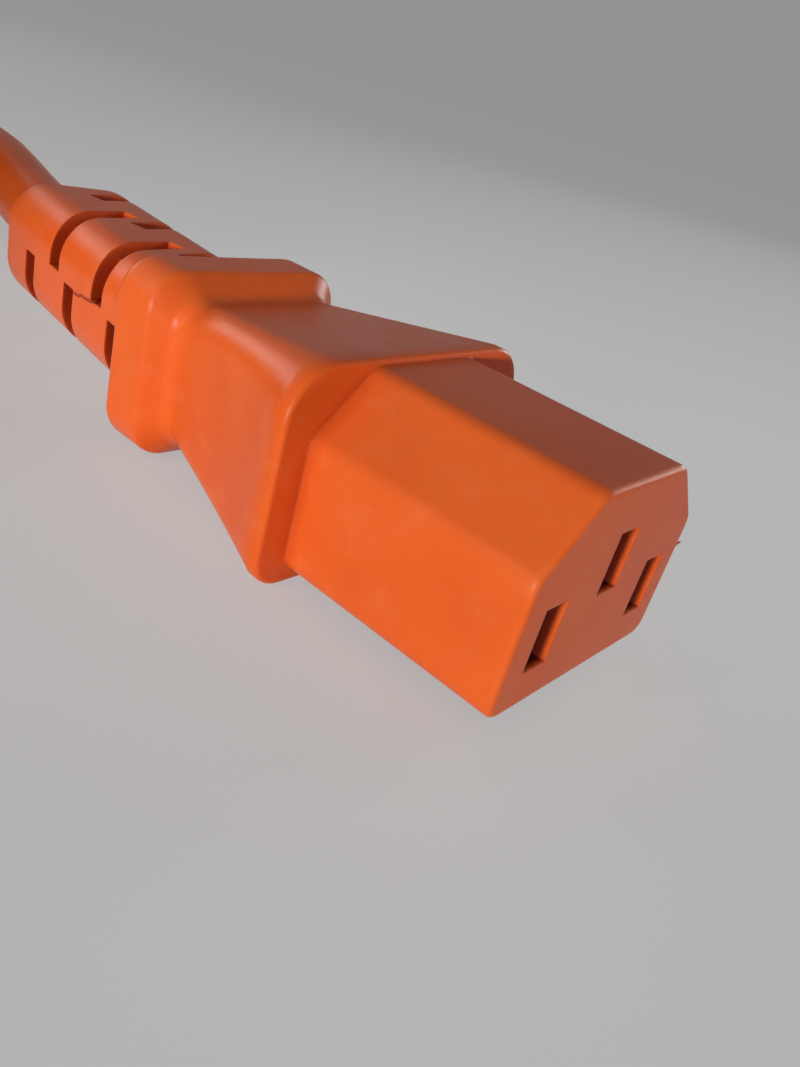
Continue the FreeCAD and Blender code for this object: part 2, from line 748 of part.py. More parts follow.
# The cord: a lead to the coil, the coil and a tail to the plug
coil_lift = s.tie_thick + s.tie_clearance
relief = relief_frame(connector_pivot, s.flange_drop, s.boot_turn)
exit_point = connector_place + relief.multVec(FreeCAD.Vector(-s.boot_length.number, 0, 0))
straight_end = connector_place + relief.multVec(FreeCAD.Vector(-s.boot_length.number - LEAD_STRAIGHT, 0, 0))
outer_column = COIL_COLUMNS - 1 - COIL_INSET
coil_entry = on_coil(ENTRY_ANGLE, outer_column, COIL_INSET, coil_lift)
coil_leave = on_coil(TAIL_ANGLE, outer_column, COIL_INSET, coil_lift)
lead_meets = between(LEAD_CREST, LEAD_DIP, LEAD_SHARE)
tail_meets = between(TAIL_ROUTE[1], TAIL_ROUTE[2], TAIL_SHARE)
diameter = s.cord_diameter.number
lead_route = [exit_point, straight_end, LEAD_CREST, lead_meets]
entry_route = [lead_meets, LEAD_DIP, coil_entry]
leave_route = [coil_leave] + TAIL_ROUTE[:2] + [tail_meets]
tail_route = [tail_meets] + TAIL_ROUTE[2:]
lead = routed("cord_lead", tube_along(lead_route, diameter, "lead"))
lead_in = routed("coil_lead_in", tube_along(entry_route, diameter, "coil entry"))
lead_out = routed("coil_lead_out", tube_along(leave_route, diameter, "coil end"))
tail = routed("cord_tail", tube_along(tail_route, diameter, "tail"))
coil = doc.addObject("Part::MultiFuse", "cord_coil")
coil.Shapes = [make_ring(coil_lift), lead_in, lead_out]
tie = make_tie()
doc.recompute()

nodes = connector + plug + [lead, coil, tail, tie]
failed = [thing.Label for thing in doc.Objects if {"Invalid", "Error"} & set(thing.State)]
if failed:
    raise RuntimeError(f"failed to build: {failed}")
for node in nodes:
    if node.Shape.isNull() or not node.Shape.isValid():
        raise RuntimeError(f"{node.Label} has no valid shape")

os.makedirs("parts", exist_ok=True)
for node in nodes:
    node.Shape.exportStep(f"parts/{node.Label}.step")
    print(f"{node.Label}: {len(node.Shape.Solids)} solid, {node.Shape.Volume:.1f} cubic mm")
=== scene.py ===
"""Orange power cord: a moulded three-slot connector, a tied coil of cord and the matching plug."""
import logging
import math
from dataclasses import dataclass
from enum import Enum
from typing import Iterable

import bmesh
import bpy
from mathutils import Matrix, Vector


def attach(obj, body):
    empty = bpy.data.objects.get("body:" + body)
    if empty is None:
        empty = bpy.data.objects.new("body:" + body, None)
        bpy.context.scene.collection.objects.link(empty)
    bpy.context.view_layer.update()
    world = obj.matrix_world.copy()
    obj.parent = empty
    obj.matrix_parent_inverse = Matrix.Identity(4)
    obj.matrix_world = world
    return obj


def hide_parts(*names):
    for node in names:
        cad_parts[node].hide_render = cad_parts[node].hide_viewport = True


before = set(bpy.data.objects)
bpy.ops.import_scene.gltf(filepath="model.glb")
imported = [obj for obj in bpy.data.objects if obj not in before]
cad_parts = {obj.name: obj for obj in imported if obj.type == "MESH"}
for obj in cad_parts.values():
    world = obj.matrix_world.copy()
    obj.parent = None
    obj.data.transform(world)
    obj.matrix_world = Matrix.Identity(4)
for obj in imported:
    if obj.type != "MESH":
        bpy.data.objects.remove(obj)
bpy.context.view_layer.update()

Point = tuple[float, float, float]
Colour = tuple[float, float, float, float]

BODY = "root"
NOISE_MIDDLE = 0.5
RECESS_SAMPLES = 8
BEVEL_SAMPLES = 6
FULL_TURN = 360.0

BRASS: Colour = (0.72, 0.50, 0.22, 1.0)
BRASS_TARNISH: Colour = (0.40, 0.25, 0.11, 1.0)
NICKEL: Colour = (0.70, 0.68, 0.64, 1.0)
NICKEL_TARNISH: Colour = (0.48, 0.45, 0.40, 1.0)
BROWN: Colour = (0.16, 0.06, 0.02, 1.0)
BLUE: Colour = (0.03, 0.10, 0.42, 1.0)
GREEN: Colour = (0.10, 0.34, 0.05, 1.0)
YELLOW: Colour = (0.78, 0.62, 0.04, 1.0)

log = logging.getLogger("power_cord")


class Core(Enum):
    """The three conductors."""

    LINE = "line"
    NEUTRAL = "neutral"
    EARTH = "earth"


class Value:
    """A number that changes over a surface; arithmetic on it adds Math nodes."""

    def __init__(self, nodes: "Nodes", socket: bpy.types.NodeSocket) -> None:
        """Wrap an output socket.

        Args:
            nodes: The tree that the socket is in.
            socket: The output.
        """
        self.nodes = nodes
        self.socket = socket

    def _math(self, operation: str, *terms: "Value | float") -> "Value":
        """Add one Math node.

        Args:
            operation: The node's operation.
            terms: Its inputs in order.

        Returns:
            The node's result.
        """
        node = self.nodes.node("ShaderNodeMath", {"operation": operation}, dict(enumerate(terms)))
        return Value(self.nodes, node.outputs[0])

    def __add__(self, other: "Value | float") -> "Value":
        """Add.

        Args:
            other: What is added.

        Returns:
            The sum.
        """
        return self._math("ADD", self, other)

    __radd__ = __add__

    def __sub__(self, other: "Value | float") -> "Value":
        """Subtract.

        Args:
            other: What is taken off.

        Returns:
            The difference.
        """
        return self._math("SUBTRACT", self, other)

    def __rsub__(self, other: float) -> "Value":
        """Subtract from a plain number.

        Args:
            other: What this value is taken off.

        Returns:
            The difference.
        """
        return self._math("SUBTRACT", other, self)

    def __mul__(self, other: "Value | float") -> "Value":
        """Multiply.

        Args:
            other: The second factor.

        Returns:
            The product.
        """
        return self._math("MULTIPLY", self, other)

    def __truediv__(self, other: "Value | float") -> "Value":
        """Divide.

        Args:
            other: The divisor.

        Returns:
            The quotient.
        """
        return self._math("DIVIDE", self, other)

    def ramp(self, low: float, high: float) -> "Value":
        """Smooth step from 0 at low to 1 at high.

        Args:
            low: Where the step starts.
            high: Where it ends.

        Returns:
            The stepped value.
        """
        settings = {"interpolation_type": "SMOOTHSTEP"}
        node = self.nodes.node("ShaderNodeMapRange", settings, {0: self, 1: low, 2: high})
        return Value(self.nodes, node.outputs[0])

    def centred(self) -> "Value":
        """Move noise, which swings round one half, to swing round zero.

        Returns:
            The moved value.
        """
        return self - NOISE_MIDDLE

    def sine(self) -> "Value":
        """Take the sine of the value in radians.

        Returns:
            The sine.
        """
        return self._math("SINE", self)

    def size(self) -> "Value":
        """Drop the sign.

        Returns:
            The value without its sign.
        """
        return self._math("ABSOLUTE", self)


class Nodes:
    """A node tree, with one way to add nodes to it."""

    def __init__(self, tree: bpy.types.NodeTree) -> None:
        """Keep the tree.

        Args:
            tree: A material's or the world's nodes.
        """
        self.tree = tree

    def node(
        self,
        kind: str,
        settings: dict[str, object] | None = None,
        inputs: dict[str | int, object] | None = None,
    ) -> bpy.types.Node:
        """Add a node.

        Args:
            kind: The node's type name.
            settings: Properties, set first.
            inputs: Values or links by socket name or number.

        Returns:
            The new node.
        """
        node = self.tree.nodes.new(kind)
        for key, value in (settings or {}).items():
            setattr(node, key, value)
        for key, value in (inputs or {}).items():
            self.feed(node.inputs[key], value)
        return node

    def feed(self, socket: bpy.types.NodeSocket, value: object) -> None:
        """Link or set one input.

        Args:
            socket: The input.
            value: A Value, an output socket or a plain value.
        """
        if isinstance(value, Value):
            value = value.socket
        if isinstance(value, bpy.types.NodeSocket):
            self.tree.links.new(value, socket)
        else:
            socket.default_value = value

    def seen_directly(self) -> Value:
        """Tell rays that show a surface from rays that only carry its light.

        Returns:
            1 for rays from the camera and for mirrored or refracted ones, 0 for the others.
        """
        flags = self.node("ShaderNodeLightPath").outputs
        names = ("Is Camera Ray", "Is Glossy Ray", "Is Transmission Ray")
        first, second, third = (Value(self, flags[name]) for name in names)
        return first + second + third

    def show(self, share: Value, first: bpy.types.Node, second: bpy.types.Node) -> None:
        """Mix two shaders and give the result to the output.

        Args:
            share: How much of the second.
            first: Shader where the share is 0.
            second: Shader where the share is 1.
        """
        inputs = {0: share, 1: first.outputs[0], 2: second.outputs[0]}
        mix = self.node("ShaderNodeMixShader", {}, inputs)
        output = next(node for node in self.tree.nodes if node.type.startswith("OUTPUT"))
        self.feed(output.inputs["Surface"], mix.outputs[0])


@dataclass(frozen=True)
class Noise:
    """Cloudy noise.

    Attributes:
        per_metre: How many features fit in a metre.
        detail: How many finer octaves are added.
    """

    per_metre: float
    detail: float


@dataclass(frozen=True)
class Patches(Noise):
    """Noise that is cut into soft patches.

    Attributes:
        low: Level where a patch starts.
        high: Level from which it is full.
        share: How strongly a full patch colours the surface.
    """

    low: float
    high: float
    share: float


class Shader(Nodes):
    """A material with one principled surface and short ways to add patterns to it."""

    def __init__(self, name: str) -> None:
        """Make the material.

        Args:
            name: The material's name.
        """
        self.material = bpy.data.materials.new(name)
        self.material.use_nodes = True
        super().__init__(self.material.node_tree)
        self.surface = next(node for node in self.tree.nodes if node.type == "BSDF_PRINCIPLED")
        self.place = self.node("ShaderNodeTexCoord").outputs["Object"]

    def noise(self, noise: Noise, stretch: Point | None = None) -> Value:
        """Spread noise over the piece.

        Args:
            noise: Its settings.
            stretch: Scale of the pattern along each axis.

        Returns:
            A value round one half.
        """
        place = self.place
        if stretch is not None:
            place = self.node("ShaderNodeMapping", {}, {"Vector": place, "Scale": stretch}).outputs[0]
        inputs = {"Vector": place, "Scale": noise.per_metre, "Detail": noise.detail}
        return Value(self, self.node("ShaderNodeTexNoise", {}, inputs).outputs[0])

    def patches(self, patches: Patches) -> Value:
        """Spread patches over the piece.

        Args:
            patches: Their settings.

        Returns:
            1 in a patch, 0 between patches.
        """
        return self.noise(patches).ramp(patches.low, patches.high)

    def axes(self) -> tuple[Value, Value, Value]:
        """Split the place on the piece.

        Returns:
            The piece's own X, Y and Z in metres.
        """
        parts = self.node("ShaderNodeSeparateXYZ", {}, {0: self.place})
        return tuple(Value(self, socket) for socket in parts.outputs)

    def recess(self, reach: float) -> Value:
        """Measure how shut in the surface is.

        Args:
            reach: How far off a wall counts, in metres.

        Returns:
            From 0 in the open to 1 deep in a slit.
        """
        settings = {"samples": RECESS_SAMPLES, "only_local": True}
        node = self.node("ShaderNodeAmbientOcclusion", settings, {"Distance": reach})
        return 1.0 - Value(self, node.outputs["AO"])

    def softened(self, radius: float) -> bpy.types.NodeSocket:
        """Round sharp edges in the shading.

        Args:
            radius: The radius that the edges seem to have, in metres.

        Returns:
            The rounded normal.
        """
        return self.node("ShaderNodeBevel", {"samples": BEVEL_SAMPLES}, {"Radius": radius}).outputs[0]

    def blend(self, share: Value, first: object, second: object) -> bpy.types.NodeSocket:
        """Mix two colours.

        Args:
            share: How much of the second.
            first: Colour where the share is 0.
            second: Colour where the share is 1.

        Returns:
            The mixed colour.
        """
        # The node keeps sockets for every data type; 6 and 7 are its colours, and 2 is their mix.
        node = self.node("ShaderNodeMix", {"data_type": "RGBA"}, {0: share, 6: first, 7: second})
        return node.outputs[2]

    def set(self, **inputs: object) -> None:
        """Set the surface's sockets.

        Args:
            inputs: Values by socket name, with an underscore for each space in the name.
        """
        for name, value in inputs.items():
            self.feed(self.surface.inputs[name.replace("_", " ")], value)

    def relief(self, height: Value, depth: float, base: object = None) -> bpy.types.NodeSocket:
        """Bump the surface.

        Args:
            height: From 0 to 1.
            depth: What 1 stands for, in metres.
            base: The normal that the bump is added to.

        Returns:
            The bumped normal.
        """
        inputs: dict[str | int, object] = {"Height": height, "Distance": depth, "Strength": 1.0}
        if base is not None:
            inputs["Normal"] = base
        return self.node("ShaderNodeBump", {}, inputs).outputs[0]


@dataclass(frozen=True)
class Tear:
    """A thin torn line in the left side of the strain relief, between two slits; its dark colour is
    painted shade in the crack.

    Attributes:
        rear: Its rear end: distance behind the origin, and height.
        front: Its front end, likewise.
        half_width: Distance from its middle line to its edge.
        core: Share of that distance that is fully torn.
        ragged: Noise that makes the line stray.
        wander: How far it strays.
        fade: Length over which each end fades.
        side: Y from which it starts to fade, and Y where it is gone.
        share: How strongly the painted shade in it darkens the vinyl.
        depth: How deep it is.
    """

    rear: tuple[float, float] = (0.0196, 0.0089)
    front: tuple[float, float] = (0.0148, 0.0097)
    half_width: float = 0.00016
    core: float = 0.4
    ragged: Noise = Noise(900.0, 1.0)
    wander: float = 0.0006
    fade: float = 0.0003
    side: tuple[float, float] = (-0.004, -0.003)
    share: float = 0.9
    depth: float = 0.00025

    def mask(self, shader: Shader) -> Value:
        """Find where the tear is.

        Args:
            shader: The material.

        Returns:
            1 in the tear, 0 elsewhere.
        """
        along, across, height = shader.axes()
        rearward = 0.0 - along
        slope = (self.front[1] - self.rear[1]) / (self.front[0] - self.rear[0])
        stray = shader.noise(self.ragged).centred() * self.wander
        off = (height - self.rear[1] - (rearward - self.rear[0]) * slope + stray).size()
        line = 1.0 - off.ramp(self.half_width * self.core, self.half_width)
        behind_front = rearward.ramp(self.front[0] - self.fade, self.front[0])
        past_rear = rearward.ramp(self.rear[0], self.rear[0] + self.fade)
        on_left = 1.0 - across.ramp(*self.side)
        return line * behind_front * (1.0 - past_rear) * on_left


@dataclass(frozen=True)
class SlotShade:
    """Painted shade on the walls inside the nose's three slots, where hardly any light gets in.

    Attributes:
        colour: Colour of the painted shade.
        share: How strongly it covers the vinyl's own.
        front: X of the nose's front face.
        mouth: Depths in the slot where the colour starts and where it is full.
        back: X where the colour ends.
        half_width: Y that it stays inside.
        low: Z where it starts.
        top: Z where it ends, under the nose's top face.
        slope: Sum of Y and Z that it stays under, inside the nose's sloped faces.
        soft: Length over which its borders fade.
    """

    colour: Colour = (0.085, 0.007, 0.003, 1.0)
    share: float = 0.96
    front: float = 0.03972
    mouth: tuple[float, float] = (0.0001, 0.0006)
    back: float = 0.0210
    half_width: float = 0.0092
    low: float = 0.0030
    top: float = 0.0156
    slope: float = 0.0214
    soft: float = 0.0004

    def mask(self, shader: Shader) -> Value:
        """Find where the painted shade on the slots' walls goes.

        Args:
            shader: The material.

        Returns:
            1 on the walls a little way in, 0 on the nose's outside.
        """
        along, across, height = shader.axes()
        side = across.size()
        behind = (self.front - along).ramp(*self.mouth)
        ahead = along.ramp(self.back, self.back + self.soft)
        beside = 1.0 - side.ramp(self.half_width - self.soft, self.half_width)
        above = height.ramp(self.low, self.low + self.soft)
        below = 1.0 - (side + height).ramp(self.slope - self.soft, self.slope)
        under_top = 1.0 - height.ramp(self.top - self.soft, self.top)
        return behind * ahead * beside * above * below * under_top


def darker(colour: Colour, times: float) -> Colour:
    """Darken a colour.

    Args:
        colour: The colour.
        times: What its red, green and blue are multiplied by.

    Returns:
        The darker colour.
    """
    red, green, blue, alpha = colour
    return (times * red, times * green, times * blue, alpha)


@dataclass(frozen=True)
class VinylFinish:
    """Satin orange vinyl of the mouldings and the sheath.

    Attributes:
        name: The material's name.
        colour: Main colour.
        deep: Colour of the clouds.
        pale: Colour of the bloom.
        painted_shade_colour: Colour of the painted shade in slits and corners and in the tear.
        clouds: Wide darker patches.
        bloom: Small pale patches.
        reach: How far off a wall counts for slits and corners.
        reach_levels: How shut in a place is where the painted shade starts and where it is full.
        reach_share: How strongly the painted shade covers slits and corners.
        pores: Fine grain.
        ripple: Coarser unevenness under it.
        grain: Depth of the pores.
        ripple_times: How many times deeper the ripple is.
        edge: Radius that sharp edges seem to have.
        roughness: Mean roughness.
        wear: Noise in the roughness.
        wear_swing: How much the roughness changes by it.
        bloom_rough: Roughness that bloom adds.
        recess_rough: Roughness that slits and corners add.
        ior: Index of refraction.
        specular: Level of the mirrored light.
        tear: The torn line, if there is one.
        slots: Painted shade on the slots' walls, if there are any.
    """

    name: str
    colour: Colour = (0.78, 0.126, 0.022, 1.0)
    deep: Colour = (0.70, 0.090, 0.011, 1.0)
    pale: Colour = (0.83, 0.210, 0.080, 1.0)
    painted_shade_colour: Colour = (0.36, 0.026, 0.007, 1.0)
    clouds: Patches = Patches(90.0, 2.0, 0.35, 0.70, 0.5)
    bloom: Patches = Patches(420.0, 4.0, 0.52, 0.78, 0.24)
    reach: float = 0.004
    reach_levels: tuple[float, float] = (0.34, 0.64)
    reach_share: float = 0.75
    pores: Noise = Noise(5200.0, 2.0)
    ripple: Noise = Noise(700.0, 2.0)
    grain: float = 0.000010
    ripple_times: float = 2.0
    edge: float = 0.00030
    roughness: float = 0.31
    wear: Noise = Noise(260.0, 4.0)
    wear_swing: float = 0.14
    bloom_rough: float = 0.05
    recess_rough: float = 0.2
    ior: float = 1.5
    specular: float = 0.14
    tear: Tear | None = None
    slots: SlotShade | None = None

    def make(self) -> bpy.types.Material:
        """Build the material.

        Returns:
            The vinyl.
        """
        shader = Shader(self.name)
        clouds = shader.patches(self.clouds)
        bloom = shader.patches(self.bloom)
        # Ambient occlusion picks out slits and corners for painted shade.
        recess_shade = shader.recess(self.reach).ramp(*self.reach_levels)
        colour = shader.blend(clouds * self.clouds.share, self.colour, self.deep)
        colour = shader.blend(bloom * self.bloom.share, colour, self.pale)
        # Painted shade darkens the colour in slits and corners.
        colour = shader.blend(recess_shade * self.reach_share, colour, self.painted_shade_colour)
        normal = shader.softened(self.edge)
        normal = shader.relief(shader.noise(self.ripple), self.grain * self.ripple_times, normal)
        normal = shader.relief(shader.noise(self.pores), self.grain, normal)
        if self.slots is not None:
            # Painted shade on the walls inside the slots.
            walls = self.slots.mask(shader)
            colour = shader.blend(walls * self.slots.share, colour, self.slots.colour)
        if self.tear is not None:
            # The tear is a real crack; its dark colour is painted shade and its dent is relief.
            torn = self.tear.mask(shader)
            colour = shader.blend(torn * self.tear.share, colour, self.painted_shade_colour)
            normal = shader.relief(1.0 - torn, self.tear.depth, normal)
        rough = self.roughness + shader.noise(self.wear).centred() * self.wear_swing
        rough = rough + bloom * self.bloom_rough + recess_shade * self.recess_rough
        shader.set(Base_Color=colour, Roughness=rough, Normal=normal)
        shader.set(IOR=self.ior, Specular_IOR_Level=self.specular)
        return shader.material


@dataclass(frozen=True)
class MetalFinish:
    """Plated or bare metal strip with fine drawing lines.

    Attributes:
        name: The material's name.
        colour: Colour of the clean metal.
        tarnish: Colour of the stains.
        roughness: Mean roughness.
        stains: Tarnished patches.
        stain_rough: Roughness that stains add.
        lines: Noise that is drawn out into lines.
        line_stretch: Scale of the lines along each axis.
        line_swing: How much the roughness changes by the lines.
        line_depth: How deep the lines are.
    """

    name: str
    colour: Colour
    tarnish: Colour
    roughness: float = 0.28
    stains: Patches = Patches(300.0, 5.0, 0.48, 0.72, 0.5)
    stain_rough: float = 0.18
    lines: Noise = Noise(900.0, 3.0)
    line_stretch: Point = (0.06, 1.0, 1.0)
    line_swing: float = 0.12
    line_depth: float = 0.000004

    def make(self) -> bpy.types.Material:
        """Build the material.

        Returns:
            The metal.
        """
        shader = Shader(self.name)
        stains = shader.patches(self.stains)
        lines = shader.noise(self.lines, self.line_stretch)
        shader.set(
            Base_Color=shader.blend(stains * self.stains.share, self.colour, self.tarnish),
            Roughness=self.roughness + stains * self.stain_rough + lines.centred() * self.line_swing,
            Normal=shader.relief(lines, self.line_depth),
            Metallic=1.0,
        )
        return shader.material


@dataclass(frozen=True)
class InsulationFinish:
    """Glossy insulation of one core; the earth core has a second colour in stripes.

    Attributes:
        name: The material's name.
        colour: Main colour.
        stripe: Colour of the stripes, if there are any.
        stripe_turn: Radians of the stripes' wave in a metre.
        stripe_edge: How soft the stripes' edges are.
        mottle: Noise in colour, roughness and relief.
        shade: What the colour is multiplied by where the mottle is darkest.
        roughness: Least roughness.
        mottle_rough: Roughness that the mottle adds.
        mottle_depth: How deep the mottle is.
    """

    name: str
    colour: Colour
    stripe: Colour | None = None
    stripe_turn: float = 2600.0
    stripe_edge: float = 0.1
    mottle: Noise = Noise(400.0, 3.0)
    shade: float = 0.7
    roughness: float = 0.3
    mottle_rough: float = 0.1
    mottle_depth: float = 0.00001

    def make(self) -> bpy.types.Material:
        """Build the material.

        Returns:
            The insulation.
        """
        shader = Shader(self.name)
        mottle = shader.noise(self.mottle)
        colour = shader.blend(mottle, self.colour, darker(self.colour, self.shade))
        if self.stripe is not None:
            _, across, _ = shader.axes()
            wave = (across * self.stripe_turn).sine()
            colour = shader.blend(wave.ramp(-self.stripe_edge, self.stripe_edge), colour, self.stripe)
        shader.set(
            Base_Color=colour,
            Roughness=self.roughness + mottle * self.mottle_rough,
            Normal=shader.relief(mottle, self.mottle_depth),
        )
        return shader.material


@dataclass(frozen=True)
class StrapFinish:
    """Black woven hook and loop strap.

    Attributes:
        name: The material's name.
        colour: Colour between the threads.
        thread: Colour of the threads.
        pitch: Distance from thread to thread.
        fluff: Noise of loose fibres.
        fluff_share: How much the fibres hide the weave.
        thread_levels: Levels where a thread starts and where it is full.
        thread_depth: How high the threads stand.
        roughness: Least roughness.
        fluff_rough: Roughness that the fibres add.
        sheen: Soft gleam of the fibres.
    """

    name: str = "strap_weave"
    colour: Colour = (0.022, 0.022, 0.024, 1.0)
    thread: Colour = (0.065, 0.065, 0.07, 1.0)
    pitch: float = 0.0009
    fluff: Noise = Noise(2600.0, 4.0)
    fluff_share: float = 0.3
    thread_levels: tuple[float, float] = (0.3, 0.75)
    thread_depth: float = 0.00012
    roughness: float = 0.75
    fluff_rough: float = 0.2
    sheen: float = 0.3

    def make(self) -> bpy.types.Material:
        """Build the material.

        Returns:
            The woven strap.
        """
        shader = Shader(self.name)
        turn = 2.0 * math.pi / self.pitch
        x_wave, y_wave, z_wave = ((axis * turn).sine() for axis in shader.axes())
        # The sum runs from -2 to 2 and is brought to between 0 and 1.
        weave = (x_wave * z_wave + y_wave * z_wave) * 0.25 + 0.5
        fluff = shader.noise(self.fluff)
        threads = weave * (1.0 - self.fluff_share) + fluff * self.fluff_share
        threads = threads.ramp(*self.thread_levels)
        shader.set(
            Base_Color=shader.blend(threads, self.colour, self.thread),
            Roughness=self.roughness + fluff * self.fluff_rough,
            Normal=shader.relief(threads, self.thread_depth),
            Sheen_Weight=self.sheen,
        )
        return shader.material


@dataclass(frozen=True)
class FloorFinish:
    """Pale matt paper under the cord, lifted where it is seen and greyer further off.

    Attributes:
        name: The material's name.
        colour: The paper's colour.
        shade: What the colour is multiplied by in its clouds.
        cloud: Noise of the clouds.
        roughness: Roughness of the paper.
        specular: Level of the mirrored light.
        near: Brightness that is mixed in close to the origin.
        far: Brightness that is mixed in far from it.
        reach: Distance at which the two are half and half.
        lift: How much of that brightness is mixed in.
    """

    name: str = "pale_paper"
    colour: Colour = (0.58, 0.575, 0.565, 1.0)
    shade: float = 0.97
    cloud: Noise = Noise(3.0, 2.0)
    roughness: float = 0.9
    specular: float = 0.1
    near: Colour = (0.86, 0.86, 0.855, 1.0)
    far: Colour = (0.578, 0.578, 0.583, 1.0)
    reach: float = 0.14
    lift: float = 0.45

    def make(self) -> bpy.types.Material:
        """Build the material.

        Returns:
            The paper.
        """
        shader = Shader(self.name)
        paper = shader.blend(shader.noise(self.cloud), self.colour, darker(self.colour, self.shade))
        shader.set(Base_Color=paper, Roughness=self.roughness, Specular_IOR_Level=self.specular)
        x, y, _ = shader.axes()
        area = x * x + y * y
        brightness = shader.blend(area / (area + self.reach * self.reach), self.near, self.far)
        glow = shader.node("ShaderNodeEmission", {}, {"Color": brightness})
        shader.show(shader.seen_directly() * self.lift, shader.surface, glow)
        return shader.material


@dataclass
class Moulding:
    """A vinyl moulding: the CAD solid with its points merged and its curved faces shaded smooth.

    Attributes:
        node: The CAD node that it stands for.
        name: The piece's name.
        crease: Angle from which an edge stays sharp.
        weld: Distance within which points are merged.
    """

    node: str
    name: str
    crease: float = math.radians(32.0)
    weld: float = 0.000002

    def build(self, finish: bpy.types.Material) -> bpy.types.Object:
        """Copy, merge and dress the node.

        Args:
            finish: The vinyl.

        Returns:
            The piece that stands for the node.
        """
        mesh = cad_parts[self.node].data.copy()
        mesh.name = self.name
        shape = bmesh.new()
        shape.from_mesh(mesh)
        bmesh.ops.remove_doubles(shape, verts=shape.verts, dist=self.weld)
        for face in shape.faces:
            face.smooth = True
        for edge in shape.edges:
            edge.smooth = edge.is_manifold and edge.calc_face_angle(0.0) < self.crease
        shape.to_mesh(mesh)
        shape.free()
        mesh.materials.clear()
        mesh.materials.append(finish)
        piece = place(self.name, mesh)
        weights = piece.modifiers.new("face_weights", "WEIGHTED_NORMAL")
        weights.keep_sharp = True
        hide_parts(self.node)
        return piece


@dataclass(frozen=True)
class Burr:
    """A speck of moulding flash on the rim of the nose's front face.

    Attributes:
        root: Middle of its foot.
        tip: Middle of its end.
        radius: Radius of its foot.
        taper: Share of that radius at its end.
        sides: How many sides it has.
    """

    root: Point = (0.03945, 0.0108, 0.0094)
    tip: Point = (0.03965, 0.0115, 0.0097)
    radius: float = 0.00017
    taper: float = 0.3
    sides: int = 10

    def build(self, finish: bpy.types.Material) -> bpy.types.Object:
        """Make the speck.

        Args:
            finish: The housing's vinyl.

        Returns:
            The speck.
        """
        start, end = Vector(self.root), Vector(self.tip)
        turn = (end - start).to_track_quat("Z", "Y").to_matrix().to_4x4()
        shape = bmesh.new()
        bmesh.ops.create_cone(
            shape,
            cap_ends=True,
            segments=self.sides,
            radius1=self.radius,
            radius2=self.radius * self.taper,
            depth=(end - start).length,
            matrix=Matrix.Translation((start + end) / 2.0) @ turn,
        )
        mesh = bpy.data.meshes.new("flash_burr")
        shape.to_mesh(mesh)
        shape.free()
        mesh.materials.append(finish)
        piece = place("flash_burr", mesh)
        return piece


